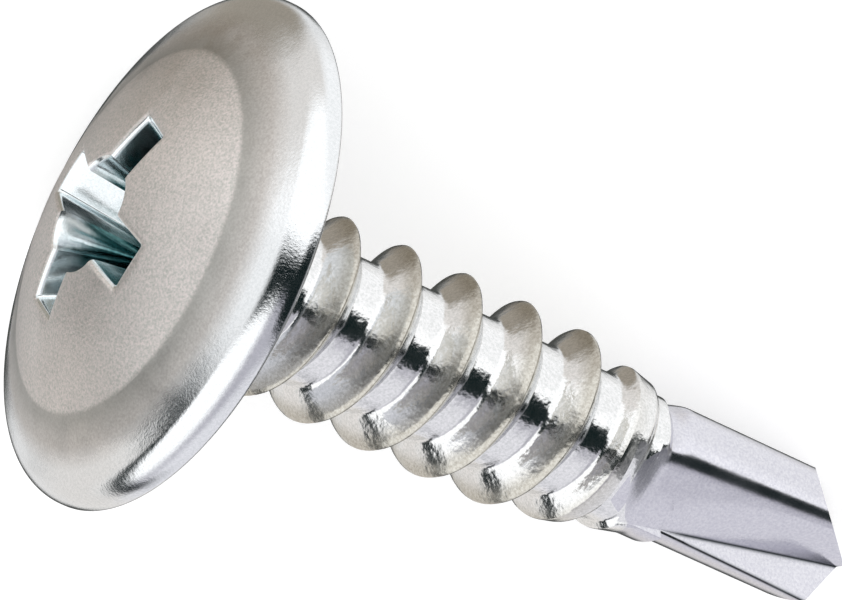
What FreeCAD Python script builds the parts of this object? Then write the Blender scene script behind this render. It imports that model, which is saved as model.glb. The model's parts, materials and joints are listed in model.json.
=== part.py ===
"""A self drilling screw: wafer head with a cross recess, left-hand tapping thread, forged drill point.

One solid, cold forged from one wire. All sizes are in millimetres and degrees.

The screw's own frame has +Z along the axis towards the head, z = 0 on the bearing face under the
head and the drill's tip at z = -screw_length. Its placement then lays it on its side, as it comes to
rest: the rim of the head and one flute of the drill point touch the floor at z = 0.
"""
import FreeCAD
import Part
import Sketcher
import math
import os

Vector = FreeCAD.Vector

SIZES = [
    ("screw_length", 16.7, "from the bearing face to the tip"),
    ("thread_diameter", 4.05, "over the crests"),
    ("core_diameter", 2.86, "between the turns"),
    ("thread_pitch", 1.486, ""),
    ("flank_angle", 35.5, "each flank, from the plane across the axis"),
    ("crest_flat", 0.07, "width of the flat left on the crest"),
    ("thread_lead_in", 0.381, "height of the first crest above the bearing face, inside the head"),
    ("thread_bury", 0.12, "how far the thread's root runs into the core"),
    ("fade_start", 8.75, "depth where the crests start to come down"),
    ("fade_length", 2.9, "length over which they come down to the drill point"),
    ("neck_rounding", 0.62, "fillet between core and bearing face, which clears the crests"),
    ("head_diameter", 10.6, ""),
    ("rim_height", 0.76, "bearing face to the level where the rim's upper rounding would close"),
    ("rim_lower_rounding", 0.13, ""),
    ("rim_upper_rounding", 0.55, ""),
    ("flange_slope", 24.0, "fall of the flange from the dome to the rim"),
    ("dome_diameter", 7.6, "circle where the dome rises from the flange"),
    ("crease_rounding", 1.2, "hollow at that circle"),
    ("dome_rise", 1.03, ""),
    ("recess_span", 4.55, "across opposite wing ends, at the level of the dome's top"),
    ("wing_width", 0.95, "at the dome's top"),
    ("wing_throat", 1.12, "where the corner facets start, out from the axis"),
    ("recess_depth", 2.35, "from the dome's top to the recess floor"),
    ("wing_end_slope", 26.5, "of the wing ends, from the axis"),
    ("wing_draft", 2.0, "of the wing sides, from the axis"),
    ("recess_turn", -16.0, "of the first wing about the axis"),
    ("recess_cone", 0.35, "depth of the cone below the recess floor"),
    ("recess_cone_diameter", 1.1, "of the cone at the recess floor"),
    ("point_diameter", 2.6, "of the drill point"),
    ("shoulder_depth", 11.2, "where the drill point starts"),
    ("shoulder_length", 0.22, "cone from the core down to the drill point"),
    ("lip_angle", 59.0, "cutting lip, from the axis"),
    ("relief_angle", 46.5, "fall of each land's end behind its lip"),
    ("lip_turn", -61.0, "of the cutting lip's corner about the axis"),
    ("groove_turn", -53.0, "of the groove's bottom about the axis"),
    ("groove_start", 11.8, "depth where the groove's bottom leaves the surface"),
    ("web_radius", 0.24, "from the axis to the groove's bottom, at the tip"),
    ("heel_turn_start", 67.0, "of the heel wall, where the flute starts"),
    ("heel_turn_end", 36.0, "of the heel wall, at the tip"),
    ("face_turn_start", -60.0, "of the cutting face, where the flute starts"),
    ("face_turn_end", -66.0, "of the cutting face, at the tip"),
    ("flute_run_in", 1.6, "how far the flute's cut starts before groove_start"),
    ("flute_reach", 3.0, "how far the cut's walls reach out of the solid, where it starts"),
    ("flute_reach_end", 1.7, "the same at the tip"),
]

LEFT_HANDED = True
FLUTES = 2
WINGS = 4
STEPS = 50  # rounds of the loops that settle how the screw lies


def make_sheet(doc):
    """The driving sizes, one row each."""
    sheet = doc.addObject("Spreadsheet::Sheet", "sizes")
    for row, (alias, value, note) in enumerate(SIZES, start=1):
        sheet.set(f"A{row}", alias)
        sheet.set(f"B{row}", str(value))
        sheet.set(f"C{row}", note)
        sheet.setAlias(f"B{row}", alias)
    doc.recompute()
    return sheet


def origin_item(body, role):
    return next(item for item in body.Origin.OriginFeatures if item.Role == role)


def new_sketch(body, name, role):
    sketch = body.newObject("Sketcher::SketchObject", name)
    sketch.AttachmentSupport = (origin_item(body, role), [""])
    sketch.MapMode = "FlatFace"
    return sketch


def new_feature(body, kind, name, profile=None):
    """A feature that keeps its faces as they are cut, because merging them spoils the helix."""
    feature = body.newObject(f"PartDesign::{kind}", name)
    feature.Refine = False
    if profile is not None:
        feature.Profile = profile
    return feature


def bind(item, path, expression):
    item.setExpression(path, expression)


def place(sketch, constraint, edge, end, expression):
    """Holds one coordinate of one end of an edge at an expression's value."""
    value = float(sketch.evalExpression(expression))
    index = sketch.addConstraint(Sketcher.Constraint(constraint, -1, 1, edge, end, value))
    bind(sketch, f"Constraints[{index}]", expression)


def draw(sketch, corners):
    """Draws a closed outline whose corners, and arc centres, are held by the sheet.

    Each corner is (x, y) for a straight line to the next one, or (x, y, arc) with
    arc = (centre x, centre y, way, held): way is +1 for an anticlockwise arc and -1 for a clockwise
    one, and held names the one coordinate of the arc's far end that is held ("x" or "y").
    """
    def at(pair):
        return Vector(*(float(sketch.evalExpression(text)) for text in pair[:2]), 0)

    count = len(corners)
    ends = []
    for number, corner in enumerate(corners):
        start, finish = at(corner), at(corners[(number + 1) % count])
        if len(corner) == 2:
            sketch.addGeometry(Part.LineSegment(start, finish), False)
            ends.append((1, 2))
            continue
        centre = at(corner[2])
        first, last = (start, finish) if corner[2][2] > 0 else (finish, start)
        turn = [math.atan2((p - centre).y, (p - centre).x) for p in (first, last)]
        circle = Part.Circle(centre, Vector(0, 0, 1), (start - centre).Length)
        sketch.addGeometry(Part.ArcOfCircle(circle, turn[0], turn[1]), False)
        ends.append((1, 2) if corner[2][2] > 0 else (2, 1))
    for number in range(count):
        after = (number + 1) % count
        sketch.addConstraint(
            Sketcher.Constraint("Coincident", number, ends[number][1], after, ends[after][0]))
    for number, corner in enumerate(corners):
        before = corners[number - 1]
        held = before[2][3] if len(before) == 3 else "xy"
        for axis, constraint, expression in zip("xy", ("DistanceX", "DistanceY"), corner):
            if axis in held:
                place(sketch, constraint, number, ends[number][0], expression)
        if len(corner) == 3:
            place(sketch, "DistanceX", number, 3, corner[2][0])
            place(sketch, "DistanceY", number, 3, corner[2][1])


def make_blank(body):
    """The forged blank: head, core and drill point as one half outline, turned about the axis.

    Returns the feature and the level of the dome's top. The dome is part of a ball, and the crease at
    its foot is an arc that touches the ball and the flange.
    """
    rim = "sizes.head_diameter / 2"
    core = "sizes.core_diameter / 2"
    point = "sizes.point_diameter / 2"
    neck = "sizes.neck_rounding"
    low = "sizes.rim_lower_rounding"
    high = "sizes.rim_upper_rounding"
    slope = "sizes.flange_slope * 1deg"
    foot = "sizes.dome_diameter / 2"
    edge_x = f"{rim} - {high} + {high} * sin({slope})"
    edge_y = f"sizes.rim_height - {high} + {high} * cos({slope})"
    foot_y = f"{edge_y} + ({edge_x} - {foot}) * tan({slope})"
    ball = f"((({foot})^2 + sizes.dome_rise^2) / (2 * sizes.dome_rise))"
    top = f"{foot_y} + sizes.dome_rise"

    hollow = "sizes.crease_rounding"
    bend = f"(asin({foot} / {ball}) - {slope})"
    back = f"(sqrt(({ball} * sin({bend}))^2 + 2 * {ball} * {hollow} * (1 - cos({bend}))) - {ball} * sin({bend}))"
    touch_x, touch_y = f"{foot} + {back} * cos({slope})", f"{foot_y} - {back} * sin({slope})"
    hollow_x, hollow_y = f"{touch_x} + {hollow} * sin({slope})", f"{touch_y} + {hollow} * cos({slope})"
    share = f"({ball} / ({ball} + {hollow}))"
    rise_x, rise_y = f"({hollow_x}) * {share}", f"{top} - {ball} + ({hollow_y} - ({top}) + {ball}) * {share}"

    sketch = new_sketch(body, "blank_outline", "XZ_Plane")
    draw(sketch, [
        ("0", "-sizes.screw_length"),
        (point, "-sizes.screw_length"),
        (point, "-sizes.shoulder_depth"),
        (core, "-sizes.shoulder_depth + sizes.shoulder_length"),
        (core, f"-{neck}", (f"{core} + {neck}", f"-{neck}", -1, "x")),
        (f"{core} + {neck}", "0"),
        (f"{rim} - {low}", "0", (f"{rim} - {low}", low, 1, "y")),
        (rim, low),
        (rim, f"sizes.rim_height - {high}", (f"{rim} - {high}", f"sizes.rim_height - {high}", 1, "x")),
        (edge_x, edge_y),
        (touch_x, touch_y, (hollow_x, hollow_y, -1, "x")),
        (rise_x, rise_y, ("0", f"{top} - {ball}", 1, "x")),
        ("0", top),
    ])
    blank = new_feature(body, "Revolution", "blank", sketch)
    blank.ReferenceAxis = (sketch, ["V_Axis"])
    blank.Angle = 360
    return blank, top


def make_thread(body):
    """The thread: one ridge wound from inside the head down past the shoulder."""
    crest = "sizes.thread_diameter / 2"
    root = "sizes.core_diameter / 2 - sizes.thread_bury"
    half_crest = "sizes.crest_flat / 2"
    half_root = f"{half_crest} + ({crest} - ({root})) * tan(sizes.flank_angle * 1deg)"
    level = "sizes.thread_lead_in"
    sketch = new_sketch(body, "thread_section", "XZ_Plane")
    draw(sketch, [
        (root, f"{level} - ({half_root})"),
        (crest, f"{level} - {half_crest}"),
        (crest, f"{level} + {half_crest}"),
        (root, f"{level} + {half_root}"),
    ])
    thread = new_feature(body, "AdditiveHelix", "thread", sketch)
    thread.ReferenceAxis = (sketch, ["V_Axis"])
    thread.Mode = 0
    bind(thread, "Pitch", "sizes.thread_pitch")
    bind(thread, "Height", "sizes.fade_start + sizes.fade_length + sizes.thread_lead_in")
    thread.LeftHanded = LEFT_HANDED
    thread.Reversed = True
    return thread


def make_fade(body):
    """The last turns come down to the drill point's size, as the rolling dies run out."""
    crest = "sizes.thread_diameter / 2"
    point = "sizes.point_diameter / 2"
    outside = "sizes.head_diameter / 2"
    finish = "sizes.fade_start + sizes.fade_length"
    sketch = new_sketch(body, "fade_section", "XZ_Plane")
    draw(sketch, [
        (crest, "-sizes.fade_start"),
        (point, f"-({finish})"),
        (point, f"-({finish}) - sizes.thread_pitch"),
        (outside, f"-({finish}) - sizes.thread_pitch"),
        (outside, "-sizes.fade_start"),
    ])
    fade = new_feature(body, "Groove", "thread_fade", sketch)
    fade.ReferenceAxis = (sketch, ["V_Axis"])
    fade.Angle = 360
    return fade


def flute_section(body, name, depth, bottom, reach, face_turn, heel_turn):
    """One section of a flute's cut: its corner is the groove's bottom, its sides are the two walls."""
    turn = "sizes.groove_turn * 1deg"
    x, y = f"({bottom}) * cos({turn})", f"({bottom}) * sin({turn})"
    sketch = new_sketch(body, name, "XY_Plane")
    bind(sketch, "AttachmentOffset.Base.z", f"-({depth})")
    draw(sketch, [
        (x, y),
        (f"{x} + {reach} * cos({face_turn})", f"{y} + {reach} * sin({face_turn})"),
        (f"{x} + 2 * {reach}", f"{y} + {reach} * sin({face_turn})"),
        (f"{x} + 2 * {reach}", f"{y} + {reach} * sin({heel_turn})"),
        (f"{x} + {reach} * cos({heel_turn})", f"{y} + {reach} * sin({heel_turn})"),
    ])
    return sketch


def make_flutes(body):
    """The flutes: a steep cutting face and a broad heel wall, deepening towards the tip."""
    fall = "(sizes.point_diameter / 2 - sizes.web_radius) / (sizes.screw_length - sizes.groove_start)"
    start = flute_section(
        body, "flute_start", "sizes.groove_start - sizes.flute_run_in",
        f"sizes.point_diameter / 2 + ({fall}) * sizes.flute_run_in", "sizes.flute_reach",
        "sizes.face_turn_start * 1deg", "sizes.heel_turn_start * 1deg")
    finish = flute_section(
        body, "flute_end", "sizes.screw_length", "sizes.web_radius", "sizes.flute_reach_end",
        "sizes.face_turn_end * 1deg", "sizes.heel_turn_end * 1deg")
    flute = new_feature(body, "SubtractiveLoft", "flute", start)
    flute.Sections = [finish]
    flute.Ruled = True
    body.Document.recompute()
    pair = new_feature(body, "PolarPattern", "flutes")
    pair.Originals = [flute]
    pair.Axis = (origin_item(body, "Z_Axis"), [""])
    pair.Angle = 360
    pair.Occurrences = FLUTES
    body.Tip = pair
    return pair


def make_tip(body):
    """The ends of the two lands: two slopes that meet in the chisel edge, as on a twist drill."""
    lip_fall = "1 / tan(sizes.lip_angle * 1deg)"
    relief_fall = "tan(sizes.relief_angle * 1deg)"
    fall = f"sqrt(({lip_fall})^2 + ({relief_fall})^2)"
    turn = f"sizes.lip_turn - atan({relief_fall} / ({lip_fall})) / 1deg"
    width = "sizes.point_diameter"
    tip = "-sizes.screw_length"
    sketch = new_sketch(body, "tip_slopes", "XZ_Plane")
    bind(sketch, "AttachmentOffset.Rotation.Axis.x", "0")
    bind(sketch, "AttachmentOffset.Rotation.Axis.y", "1")
    bind(sketch, "AttachmentOffset.Rotation.Axis.z", "0")
    bind(sketch, "AttachmentOffset.Rotation.Angle", turn)
    draw(sketch, [
        ("0", tip),
        (width, f"{tip} + {width} * {fall}"),
        (width, f"{tip} - {width}"),
        (f"-{width}", f"{tip} - {width}"),
        (f"-{width}", f"{tip} + {width} * {fall}"),
    ])
    slopes = new_feature(body, "Pocket", "tip", sketch)
    slopes.Type = "Length"
    slopes.SideType = "Symmetric"
    bind(slopes, "Length", f"2 * {width}")
    return slopes


def recess_section(body, name, level, reach, half_width, throat):
    """One level of the cross recess: four wings with a facet across each inner corner."""
    sketch = new_sketch(body, name, "XY_Plane")
    bind(sketch, "AttachmentOffset.Base.z", level)
    bind(sketch, "AttachmentOffset.Rotation.Angle", "sizes.recess_turn")
    wing = [(throat, f"-({half_width})"), (reach, f"-({half_width})"), (reach, half_width), (throat, half_width)]
    corners = []
    for number in range(WINGS):
        for x, y in wing:
            for quarter in range(number):
                x, y = f"-({y})", x
            corners.append((x, y))
    draw(sketch, corners)
    return sketch


def make_recess(body, top):
    """The cross recess, size 2: wings that narrow with depth, over a shallow cone."""
    reach = "sizes.recess_span / 2"
    half = "sizes.wing_width / 2"
    throat = "sizes.wing_throat"
    sink = "sizes.recess_depth * tan(sizes.wing_draft * 1deg)"
    shrink = "sizes.recess_depth * tan(sizes.wing_end_slope * 1deg)"
    floor = f"{top} - sizes.recess_depth"
    mouth_section = recess_section(body, "recess_mouth", top, reach, half, throat)
    floor_section = recess_section(
        body, "recess_floor", floor, f"{reach} - {shrink}", f"{half} - {sink}", f"{throat} - {shrink} / 2")
    recess = new_feature(body, "SubtractiveLoft", "recess", mouth_section)
    recess.Sections = [floor_section]
    recess.Ruled = True
    body.Document.recompute()

    sketch = new_sketch(body, "cone_section", "XZ_Plane")
    draw(sketch, [
        ("0", f"{floor} - sizes.recess_cone"),
        ("sizes.recess_cone_diameter / 2", floor),
        ("0", floor),
    ])
    cone = new_feature(body, "Groove", "recess_cone_cut", sketch)
    cone.ReferenceAxis = (sketch, ["V_Axis"])
    cone.Angle = 360
    return cone


def build():
    """The document with the screw's body, before the body is laid down."""
    doc = FreeCAD.newDocument("self_drilling_screw")
    make_sheet(doc)
    body = doc.addObject("PartDesign::Body", "screw")
    body.Label = "screw"
    blank, top = make_blank(body)
    doc.recompute()
    for make in (make_thread, make_fade, make_flutes, make_tip):
        make(body)
        doc.recompute()
    make_recess(body, top)
    doc.recompute()
    return doc, body


def resting_pose():
    """How the screw lies: the floor touches the head's rim and both edges of one flute at the tip.

    Returns the azimuth about the screw's axis that points down, and the fall of the axis to the tip.
    """
    size = {alias: value for alias, value, _ in SIZES}
    radius = size["point_diameter"] / 2
    length = size["screw_length"]
    start = size["groove_start"] - size["flute_run_in"]
    fall = (radius - size["web_radius"]) / (length - size["groove_start"])
    lip_fall = 1 / math.tan(math.radians(size["lip_angle"]))
    relief_fall = math.tan(math.radians(size["relief_angle"]))
    slope_turn = math.radians(size["lip_turn"]) - math.atan(relief_fall / lip_fall)
    groove = math.radians(size["groove_turn"])

    def heel_edge(depth):
        """Azimuth of the heel wall's edge on the drill point's surface."""
        share = (depth - start) / (length - start)
        ends = []
        for bottom, reach, turn in (
            (radius + fall * size["flute_run_in"], size["flute_reach"], size["heel_turn_start"]),
            (size["web_radius"], size["flute_reach_end"], size["heel_turn_end"]),
        ):
            corner = complex(bottom * math.cos(groove), bottom * math.sin(groove))
            wall = complex(math.cos(math.radians(turn)), math.sin(math.radians(turn)))
            ends.append((corner, corner + reach * wall))
        corner, far = (a + (b - a) * share for a, b in zip(*ends))
        wall = (far - corner) / abs(far - corner)
        along = (corner * wall.conjugate()).real
        across = (corner * wall.conjugate()).imag
        edge = corner + wall * (math.sqrt(radius ** 2 - across ** 2) - along)
        return math.atan2(edge.imag, edge.real)

    lip = (math.radians(size["lip_turn"]), length - radius * lip_fall)
    heel_depth = lip[1]
    for _ in range(STEPS):
        turn = heel_edge(heel_depth)
        heel_depth = length + radius * math.hypot(lip_fall, relief_fall) * math.cos(turn - slope_turn)
    heel = (turn, heel_depth)

    down, tilt = (lip[0] + heel[0]) / 2, 0
    rounding = size["rim_lower_rounding"]
    for _ in range(STEPS):
        reach = [radius * math.cos(turn - down) for turn, _ in (lip, heel)]
        rim = (size["head_diameter"] / 2 - rounding) * math.cos(tilt) - rounding * math.sin(tilt) + rounding
        height = [r * math.cos(tilt) + depth * math.sin(tilt) for r, (_, depth) in zip(reach, (lip, heel))]
        tilt += (rim - sum(height) / 2) / length
        spread = radius * math.cos(tilt) * (math.sin(lip[0] - down) - math.sin(heel[0] - down))
        down -= (height[0] - height[1]) / spread
    return math.degrees(down) + 180, math.degrees(tilt)


def lay_down(body):
    """Turns the screw into its resting pose, with the floor at z = 0 and the middle of its box at x = y = 0."""
    down, tilt = resting_pose()
    fall = math.radians(tilt)
    to_floor = Vector(-math.sin(fall), 0, -math.cos(fall))
    to_head = Vector(-math.cos(fall), 0, math.sin(fall))
    lay = FreeCAD.Rotation(to_floor, Vector(0, -1, 0), to_head, "ZXY")
    spin = FreeCAD.Rotation(Vector(0, 0, 1), -down)
    body.Placement = FreeCAD.Placement(Vector(0, 0, 0), lay.multiply(spin))
    box = body.Shape.optimalBoundingBox()
    body.Placement.Base = Vector(-box.Center.x, -box.Center.y, -box.ZMin)
    print(f"azimuth to the floor {down:.3f}, fall to the tip {tilt:.3f}, box {box}")


doc, body = build()
lay_down(body)
for item in doc.Objects:
    bad = [word for word in item.State if word in ("Invalid", "Error")]
    if bad:
        raise RuntimeError(f"{item.Label}: {bad}")
shape = body.Shape
if shape.isNull() or not shape.isValid() or len(shape.Solids) != 1:
    raise RuntimeError(f"screw: {len(shape.Solids)} solids, valid {shape.isValid()}")
print(f"volume {shape.Volume:.3f}, faces {len(shape.Faces)}")
os.makedirs("parts", exist_ok=True)
shape.exportStep("parts/screw.step")
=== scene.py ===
"""A self drilling screw: wafer head with a cross recess, rolled thread, forged drill point, zinc plate."""
import cmath
import json
import math

import bmesh
import bpy
from bpy.props import FloatProperty, FloatVectorProperty, PointerProperty
from mathutils import Matrix, Vector


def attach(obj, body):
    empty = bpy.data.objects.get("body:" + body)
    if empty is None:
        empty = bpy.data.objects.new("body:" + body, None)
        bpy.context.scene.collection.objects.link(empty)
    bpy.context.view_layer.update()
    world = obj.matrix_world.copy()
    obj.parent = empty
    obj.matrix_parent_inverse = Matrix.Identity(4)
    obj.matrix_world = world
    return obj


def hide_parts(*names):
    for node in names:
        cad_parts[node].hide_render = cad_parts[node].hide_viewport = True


bl_info = {
    "name": "Self drilling screw",
    "version": (1, 0, 0),
    "blender": (4, 5, 0),
    "location": "View3D > Sidebar > Screw",
    "description": "Models and finishes a zinc plated self drilling screw with a wafer head",
    "category": "Object",
}

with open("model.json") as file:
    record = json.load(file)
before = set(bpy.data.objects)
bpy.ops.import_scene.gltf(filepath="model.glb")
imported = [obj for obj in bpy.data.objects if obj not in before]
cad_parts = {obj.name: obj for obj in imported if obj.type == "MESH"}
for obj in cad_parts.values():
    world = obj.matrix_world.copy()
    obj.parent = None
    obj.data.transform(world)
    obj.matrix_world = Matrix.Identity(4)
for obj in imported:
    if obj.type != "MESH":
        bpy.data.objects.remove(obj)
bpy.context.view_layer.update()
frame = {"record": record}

MM = 0.001
NODE = "screw"
BODY = "root"
TAU = 2 * math.pi

# How the screw lies: its axis falls to the drill point, and this azimuth about the axis points down.
REST_FALL = math.radians(15.336)
REST_DOWN = math.radians(164.978)
# The dome's top above the bearing face, in millimetres.
HEAD_TOP = 2.265


def hex_color(code):
    """An sRGB hex colour as linear red, green, blue and alpha."""
    values = [int(code[i:i + 2], 16) / 255 for i in (0, 2, 4)]
    linear = [v / 12.92 if v <= 0.04045 else ((v + 0.055) / 1.055) ** 2.4 for v in values]
    return (*linear, 1.0)


def add_node(tree, kind, inputs=(), **settings):
    """A node with its settings, and its inputs set or linked by name or place."""
    node = tree.nodes.new(kind)
    for name, value in settings.items():
        setattr(node, name, value)
    for name, value in dict(inputs).items():
        if isinstance(value, bpy.types.NodeSocket):
            tree.links.new(value, node.inputs[name])
        else:
            node.inputs[name].default_value = value
    return node


def screw_matrix():
    """From the screw's own frame, in millimetres with +Z to the head, to the part's frame in metres."""
    mounts = {mount["name"]: mount for mount in frame["record"]["mounts"]}
    to_head = Vector(mounts["cross_recess"]["axis"])
    to_floor = Vector((-math.sin(REST_FALL), 0, -math.cos(REST_FALL)))
    across = to_head.cross(to_floor)
    turn = Matrix((to_floor, across, to_head)).transposed()
    spin = Matrix.Rotation(-REST_DOWN, 3, "Z")
    origin = Vector(mounts["cross_recess"]["pos_m"]) - to_head * HEAD_TOP * MM
    return Matrix.Translation(origin) @ (turn @ spin).to_4x4() @ Matrix.Scale(MM, 4)


def step(value, low, high):
    """A smooth step from 0 at low to 1 at high."""
    share = min(max((value - low) / (high - low), 0), 1)
    return share * share * (3 - 2 * share)


def smooth_min(a, b, soft):
    """The smaller of two lengths, eased where they are less than soft apart."""
    share = max(soft - abs(a - b), 0) / soft
    return min(a, b) - share ** 3 * soft / 6


def smooth_max(a, b, soft):
    """The larger of two lengths, eased where they are less than soft apart."""
    return -smooth_min(-a, -b, soft)


def new_object(name, bm):
    """A mesh object at the origin, from a bmesh that it uses up."""
    mesh = bpy.data.meshes.new(name)
    bm.to_mesh(mesh)
    bm.free()
    obj = bpy.data.objects.new(name, mesh)
    bpy.context.scene.collection.objects.link(obj)
    return obj


def loft(rings):
    """A closed solid through rings of points, each with as many points, with flat ends."""
    bm = bmesh.new()
    rows = [[bm.verts.new(point) for point in ring] for ring in rings]
    count = len(rows[0])
    for lower, upper in zip(rows, rows[1:]):
        for i in range(count):
            j = (i + 1) % count
            bm.faces.new((lower[i], lower[j], upper[j], upper[i]))
    bm.faces.new(rows[0])
    bm.faces.new(rows[-1])
    bmesh.ops.recalc_face_normals(bm, faces=bm.faces)
    return bm


def add_loft(bm, rings):
    """Adds a closed solid through rings of points to a bmesh."""
    solid = loft(rings)
    mesh = bpy.data.meshes.new("solid")
    solid.to_mesh(mesh)
    solid.free()
    bm.from_mesh(mesh)
    bpy.data.meshes.remove(mesh)


class ThreadSizes(bpy.types.PropertyGroup):
    """Sizes of the rolled thread, in millimetres."""
    core: FloatProperty(name="Core radius", description="Between the turns", default=1.43)
    crest: FloatProperty(name="Crest radius", description="Over the turns", default=2.025)
    pitch: FloatProperty(name="Pitch", description="From crest to crest", default=1.486)
    flank: FloatProperty(
        name="Flank angle", description="Each flank, from across the axis", default=math.radians(35.5),
        subtype="ANGLE")
    crest_flat: FloatProperty(name="Crest flat", description="Width left on the crest", default=0.07)
    lead_in: FloatProperty(
        name="Lead in", description="First crest's height above the bearing face", default=0.381)
    turns: FloatProperty(name="Turns", description="Turns of the ridge", default=8.0)
    fade_start: FloatProperty(name="Fade start", description="Depth where crests fall", default=8.75)
    fade_length: FloatProperty(name="Fade length", description="Length of the fall", default=3.3)
    neck: FloatProperty(name="Neck rounding", description="Fillet under the head", default=0.62)


class PointSizes(bpy.types.PropertyGroup):
    """Sizes of the forged drill point, in millimetres."""
    radius: FloatProperty(name="Radius", description="Of the drill point", default=1.3)
    length: FloatProperty(name="Length", description="Bearing face to tip", default=16.7)
    shoulder: FloatProperty(name="Shoulder", description="Depth where the point starts", default=11.2)
    shoulder_length: FloatProperty(
        name="Shoulder length", description="Cone from the core to the point", default=0.22)
    groove_turn: FloatProperty(
        name="Groove turn", description="Azimuth of the groove's bottom", default=math.radians(-53),
        subtype="ANGLE")
    groove_start: FloatProperty(name="Groove start", description="Depth of its start", default=11.8)
    web: FloatProperty(name="Web radius", description="Axis to groove at the tip", default=0.24)
    run_in: FloatProperty(name="Run in", description="Flute before the groove's start", default=1.6)
    reach: FloatProperty(name="Reach", description="Length of the walls at the start", default=3.0)
    reach_end: FloatProperty(name="End reach", description="Length of the walls at the tip", default=1.7)
    heel_start: FloatProperty(
        name="Heel start", description="Heel wall's azimuth at the start", default=math.radians(67),
        subtype="ANGLE")
    heel_end: FloatProperty(
        name="Heel end", description="Heel wall's azimuth at the tip", default=math.radians(36),
        subtype="ANGLE")
    face_start: FloatProperty(
        name="Face start", description="Cutting face's azimuth at the start", default=math.radians(-60),
        subtype="ANGLE")
    face_end: FloatProperty(
        name="Face end", description="Cutting face's azimuth at the tip", default=math.radians(-66),
        subtype="ANGLE")
    lip_turn: FloatProperty(
        name="Lip turn", description="Azimuth of the lip's corner", default=math.radians(-61),
        subtype="ANGLE")
    lip: FloatProperty(
        name="Lip angle", description="Of the lip, from the axis", default=math.radians(59),
        subtype="ANGLE")
    relief: FloatProperty(
        name="Relief angle", description="Fall behind the lip", default=math.radians(46.5),
        subtype="ANGLE")
    heel_rounding: FloatProperty(name="Heel rounding", description="Softness of the heel", default=0.2)
    root_rounding: FloatProperty(name="Root rounding", description="Softness of the groove", default=0.04)
    chamfer_turn: FloatProperty(
        name="Chamfer turn", description="Azimuth that the flat behind the heel faces",
        default=math.radians(-13), subtype="ANGLE")
    chamfer: FloatProperty(name="Chamfer", description="Axis to the flat behind the heel", default=1.09)
    chamfer_end: FloatProperty(name="Chamfer end", description="The same at the tip", default=0.93)
    chamfer_start: FloatProperty(name="Chamfer start", description="Depth of its start", default=10.1)
    chamfer_full: FloatProperty(name="Chamfer full", description="Depth where it is full", default=11.3)
    chamfer_rounding: FloatProperty(
        name="Chamfer rounding", description="Softness of that flat's edge", default=0.17)
    proud: FloatProperty(name="Proud", description="How far one land stands proud", default=0.2)
    proud_turn: FloatProperty(
        name="Proud turn", description="Azimuth of that land", default=math.radians(68), subtype="ANGLE")


class HeadSizes(bpy.types.PropertyGroup):
    """Sizes of the wafer head, in millimetres."""
    radius: FloatProperty(name="Radius", description="Of the head", default=5.3)
    rim_height: FloatProperty(name="Rim height", description="Of the rim's wall", default=0.76)
    lower_rounding: FloatProperty(name="Lower rounding", description="Of the rim", default=0.13)
    upper_rounding: FloatProperty(name="Upper rounding", description="Of the rim", default=0.55)
    slope: FloatProperty(
        name="Flange slope", description="Fall to the rim", default=math.radians(24), subtype="ANGLE")
    foot: FloatProperty(name="Dome radius", description="Where the dome rises", default=3.8)
    rise: FloatProperty(name="Dome rise", description="Above its foot", default=1.03)
    crease: FloatProperty(name="Crease", description="Half width of the hollow at the foot", default=0.12)


class RecessSizes(bpy.types.PropertyGroup):
    """Sizes of the cross recess, in millimetres."""
    reach: FloatProperty(name="Reach", description="Axis to wing end at the dome's top", default=2.275)
    half_width: FloatProperty(name="Half width", description="Of a wing at the dome's top", default=0.475)
    throat: FloatProperty(name="Throat", description="Axis to corner facet along a wing", default=1.12)
    depth: FloatProperty(name="Depth", description="Dome's top to recess floor", default=2.35)
    end_slope: FloatProperty(
        name="End slope", description="Of the wing ends, from the axis", default=math.radians(26.5),
        subtype="ANGLE")
    draft: FloatProperty(
        name="Draft", description="Of the wing sides, from the axis", default=math.radians(2),
        subtype="ANGLE")
    turn: FloatProperty(
        name="Turn", description="Of the first wing", default=math.radians(-16), subtype="ANGLE")
    lip: FloatProperty(name="Lip", description="Rounding at the mouth", default=0.15)
    corner: FloatProperty(name="Corner", description="Rounding of the wings' corners", default=0.07)
    bow: FloatProperty(name="Bow", description="Of the facets across the inner corners", default=0.09)
    cone: FloatProperty(name="Cone", description="Depth of the cone below the floor", default=0.35)
    cone_radius: FloatProperty(name="Cone radius", description="Of that cone at the floor", default=0.55)


class FinishColors(bpy.types.PropertyGroup):
    """Colours of the zinc plate on each part of the screw."""
    rim: FloatVectorProperty(
        name="Rim", description="The bright edge of the head", default=hex_color("EAECEE"),
        subtype="COLOR", size=4)
    dome: FloatVectorProperty(
        name="Dome", description="The satin dome", default=hex_color("E6DEDC"), subtype="COLOR", size=4)
    flange: FloatVectorProperty(
        name="Flange", description="The satin flange", default=hex_color("DAD7D4"), subtype="COLOR",
        size=4)
    recess: FloatVectorProperty(
        name="Recess", description="The struck cross recess", default=hex_color("EDF2F4"), subtype="COLOR",
        size=4)
    valley: FloatVectorProperty(
        name="Valley", description="Between the thread's turns", default=hex_color("F0F0F1"),
        subtype="COLOR", size=4)
    # The crest colour is darker than the valley's: painted shade on the ridges.
    crest: FloatVectorProperty(
        name="Crest", description="The thread's ridges", default=hex_color("D0CEC6"), subtype="COLOR",
        size=4)
    point: FloatVectorProperty(
        name="Point", description="The forged drill point", default=hex_color("DADAE0"), subtype="COLOR",
        size=4)


# Roundings where the thread's surfaces meet, in millimetres.
CREST_SOFT, ROOT_SOFT, NECK_SOFT = 0.1, 0.12, 0.03
# Before the shoulder the core dips under the drill point's skin: where it starts, how long and how deep.
SKIN_START, SKIN_RUN, SKIN = 1.5, 0.3, 0.004
# At the shoulder it sinks into the drill point: where it starts, how steeply and how deep.
SINK_START, SINK_SLOPE, SINK = 0.45, 0.9, 0.1

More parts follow.
